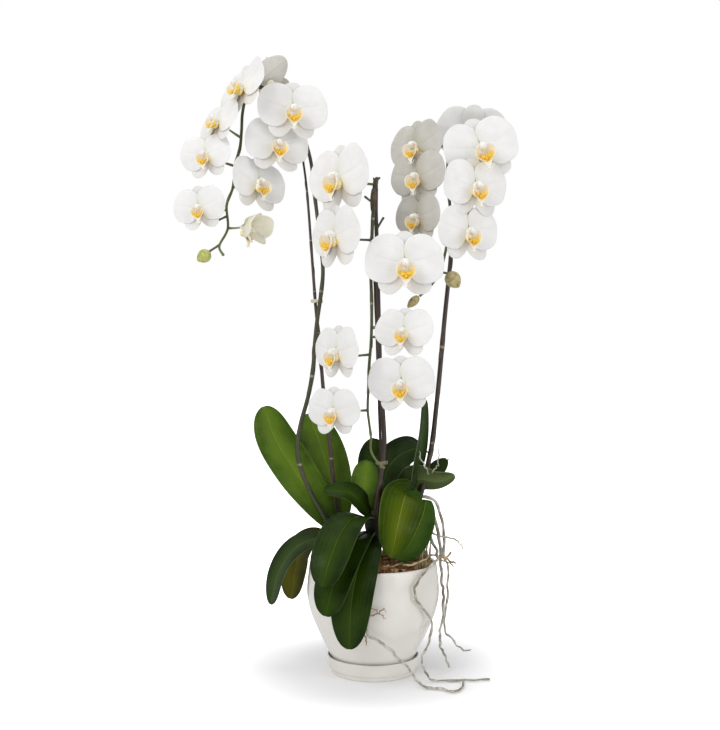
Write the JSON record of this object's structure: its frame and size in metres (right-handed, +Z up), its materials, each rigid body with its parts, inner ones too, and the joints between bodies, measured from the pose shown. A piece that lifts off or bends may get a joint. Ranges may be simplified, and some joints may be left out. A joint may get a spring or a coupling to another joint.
{
  "type": "potted orchid",
  "caption": "Potted moth orchid: leafy plants with arching stems of white blooms, trailing aerial roots and a glazed pot on its saucer.",
  "frame": {"origin": "centre of the saucer's underside, on the surface it rests on", "axes": "+Z up along the pot's axis, -Y towards the side seen in the picture, +X to its right"},
  "size_m": [0.4383, 0.2173, 0.793],
  "materials": {
    "glaze": "gloss",
    "bark": "matte",
    "stem": "satin",
    "cane": "satin",
    "tie": "satin",
    "crown": "satin",
    "leaf": "satin",
    "bright_leaf": "satin",
    "petal": "matte",
    "root": "matte"
  },
  "bodies": {
    "root": {"pot": "glaze", "saucer": "glaze", "growing_medium": "bark", "crown_left": "crown", "crown_centre": "crown", "crown_right": "crown", "stem_left_outer": "stem", "stem_left_inner": "stem", "stem_centre": "stem", "stem_right": "stem", "stake_centre": "cane", "tie_left": "tie", "tie_centre_upper": "tie", "tie_centre_lower": "tie", "root_front": "root", "root_bark": "root", "root_right_floor": "root", "root_right_hanging": "root", "root_right_back": "root", "root_right_side": "root", "leaf_left_tall": "leaf", "leaf_left_upright": "leaf", "leaf_left_drooping": "leaf", "leaf_left_low": "leaf", "leaf_front_short": "leaf", "leaf_front_rising": "leaf", "leaf_front_left": "leaf", "leaf_front_middle": "leaf", "leaf_front_low": "leaf", "leaf_back_upright": "leaf", "leaf_centre_arching": "leaf", "leaf_right_upright": "leaf", "leaf_right_arching": "leaf", "leaf_right_bright": "bright_leaf", "leaf_right_shaded": "leaf", "leaf_right_small": "leaf", "bloom_left_01": "petal", "bloom_left_02": "petal", "bloom_left_03": "petal", "bloom_left_04": "petal", "bloom_left_05": "petal", "bloom_left_06": "petal", "bloom_left_07": "petal", "bloom_left_08": "petal", "bloom_left_09": "petal", "bloom_centre_01": "petal", "bloom_centre_02": "petal", "bloom_centre_03": "petal", "bloom_centre_04": "petal", "bloom_centre_05": "petal", "bloom_centre_06": "petal", "bloom_centre_07": "petal", "bloom_right_01": "petal", "bloom_right_02": "petal", "bloom_right_03": "petal", "bloom_right_04": "petal", "bloom_right_05": "petal", "bloom_right_06": "petal", "bloom_right_07": "petal"}
  },
  "joints": []
}
